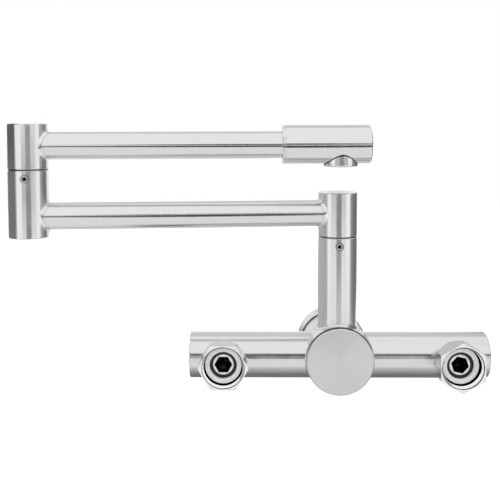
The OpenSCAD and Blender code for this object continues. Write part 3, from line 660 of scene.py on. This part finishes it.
def panel(name, corners, material):
    mesh = bpy.data.meshes.new(name)
    mesh.from_pydata(corners, [], [(0, 1, 2, 3)])
    mesh.materials.append(material)
    made = placed(name, mesh)
    return made


def level_corners(x0, x1, y0, y1, z):
    return [(x0, y0, z), (x1, y0, z), (x1, y1, z), (x0, y1, z)]


WORLD_LEVEL = 0.72   # strength of the white all round, as light
FLOOR_Z = -0.42      # metres
FLOOR_REACH = 5
FLOOR_TONE = 0.86
FLOOR_ROUGH = 0.7
FLOOR_GLOSS = 0.1
FLOOR_GLOW = 0.6     # what is added where the camera sees the floor


def make_world():
    world = bpy.data.worlds.new("surroundings")
    world.use_nodes = True
    tree = world.node_tree
    tree.nodes.clear()
    choice = add(tree, "ShaderNodeMixShader")
    put(tree, choice, 0, seen_white(tree))
    for place, strength in ((1, WORLD_LEVEL), (2, 1.0)):
        light = add(tree, "ShaderNodeBackground")
        put(tree, light, "Color", WHITE)
        put(tree, light, "Strength", strength)
        put(tree, choice, place, light.outputs[0])
    put(tree, add(tree, "ShaderNodeOutputWorld"), "Surface", choice.outputs[0])
    bpy.context.scene.world = world


def make_floor():
    material, tree, shader = new_material("pale_floor")
    put(tree, shader, "Base Color", grey(FLOOR_TONE))
    put(tree, shader, "Roughness", FLOOR_ROUGH)
    put(tree, shader, "Specular IOR Level", FLOOR_GLOSS)
    glow = add(tree, "ShaderNodeEmission")
    put(tree, glow, "Color", WHITE)
    put(tree, glow, "Strength", product(tree, seen_white(tree), FLOOR_GLOW))
    total = add(tree, "ShaderNodeAddShader")
    put(tree, total, 0, shader.outputs[0])
    put(tree, total, 1, glow.outputs[0])
    put(tree, tree.nodes["Material Output"], "Surface", total.outputs[0])
    panel("floor", level_corners(-FLOOR_REACH, FLOOR_REACH, -FLOOR_REACH, FLOOR_REACH, FLOOR_Z),
          material)


make_world()
make_floor()


def lamp(name, place, target, width, height, power):
    """A soft lamp, in metres and watts, that no reflection shows."""
    data = bpy.data.lights.new(name, "AREA")
    data.shape = "RECTANGLE"
    data.size, data.size_y, data.energy = width, height, power
    made = placed(name, data)
    made.visible_glossy = False
    made.location = place
    made.rotation_euler = (Vector(target) - Vector(place)).to_track_quat("-Z", "Y").to_euler()


lamp("overhead", place=(-0.05, -0.25, 1.15), target=(-0.05, 0.03, 0.06), width=1.5, height=1.0,
     power=5.0)
lamp("left_front", place=(-1.05, -0.85, 0.55), target=(-0.08, 0.03, 0.06), width=1.0, height=1.2,
     power=4.0)
lamp("right_front", place=(0.95, -0.85, 0.5), target=(0.0, 0.03, 0.06), width=1.0, height=1.2,
     power=4.0)


# Studio cards that only reflections see, in mm
def card(name, corners, level, far_level=None, way=None, start=None, end=None):
    """A glowing card. With a far level, it goes over to that along a direction, start to end."""
    material = bpy.data.materials.new(name)
    material.use_nodes = True
    tree = material.node_tree
    tree.nodes.clear()
    glow = add(tree, "ShaderNodeEmission")
    put(tree, glow, "Color", WHITE)
    put(tree, glow, "Strength", level)
    if far_level is not None:
        along = vector_math(tree, "DOT_PRODUCT", object_place(tree), tuple(way))
        put(tree, glow, "Strength", mapped(tree, along, level, far_level, start * MM, end * MM))
    put(tree, add(tree, "ShaderNodeOutputMaterial"), "Surface", glow.outputs[0])
    made = panel(name, [tuple(c * MM for c in corner) for corner in corners], material)
    made.visible_camera = made.visible_diffuse = False
    made.visible_shadow = made.visible_transmission = False


def upright(x0, y0, x1, y1, low, high):
    """Corners of a card that stands on the line between two points."""
    return [(x0, y0, low), (x1, y1, low), (x1, y1, high), (x0, y0, high)]


# On the camera's side: a dark patch, and a dark strip for the level tubes with a soft upper edge
STRIP_LEFT, STRIP_RIGHT, STRIP_Y = -330, 320, -312
STRIP_LOW, STRIP_HIGH, BAND_HIGH = 62, 106, 138
card("camera_card", upright(-175, -740, 225, -740, -100, 260), level=0.0)
card("dark_strip", upright(STRIP_LEFT, STRIP_Y, STRIP_RIGHT, STRIP_Y, STRIP_LOW, STRIP_HIGH),
     level=0.01)
card("soft_band", upright(STRIP_LEFT, STRIP_Y, STRIP_RIGHT, STRIP_Y, STRIP_HIGH, BAND_HIGH),
     level=0.2, far_level=1.0, way=Z, start=STRIP_HIGH, end=BAND_HIGH)

# Grey walls that meet in a corner on the far left, and a white one on the far side
CORNER_X, CORNER_Y = -400, 850
card("left_wall", upright(CORNER_X, -139, CORNER_X, CORNER_Y, -300, 120), level=0.5)
card("left_back", upright(CORNER_X, CORNER_Y, -5, CORNER_Y, -400, -60), level=0.45)
card("back_wall", upright(-1600, 900, 1600, 900, -160, 1900), level=0.95, far_level=0.72,
     way=Z, start=230, end=450)

# Beside the columns, for the dark bands down them
card("left_card", upright(-240, -17, -240, 48, 56, 240), level=0.21, far_level=0.13,
     way=Z, start=118, end=140)
card("right_card", upright(250, -55, 250, 500, -60, 240), level=0.45, far_level=0.18,
     way=Y, start=-55, end=80)

# Below: a wide white table, and a card under the body tube
card("table_card", level_corners(-900, 900, -900, 400, -160), level=0.87, far_level=0.68,
     way=Y, start=-60, end=120)
card("under_card", level_corners(-140, 145, -14, 70, -40), level=0.72, far_level=0.2,
     way=Y, start=-12, end=26)

bpy.context.scene.view_settings.view_transform = "Standard"
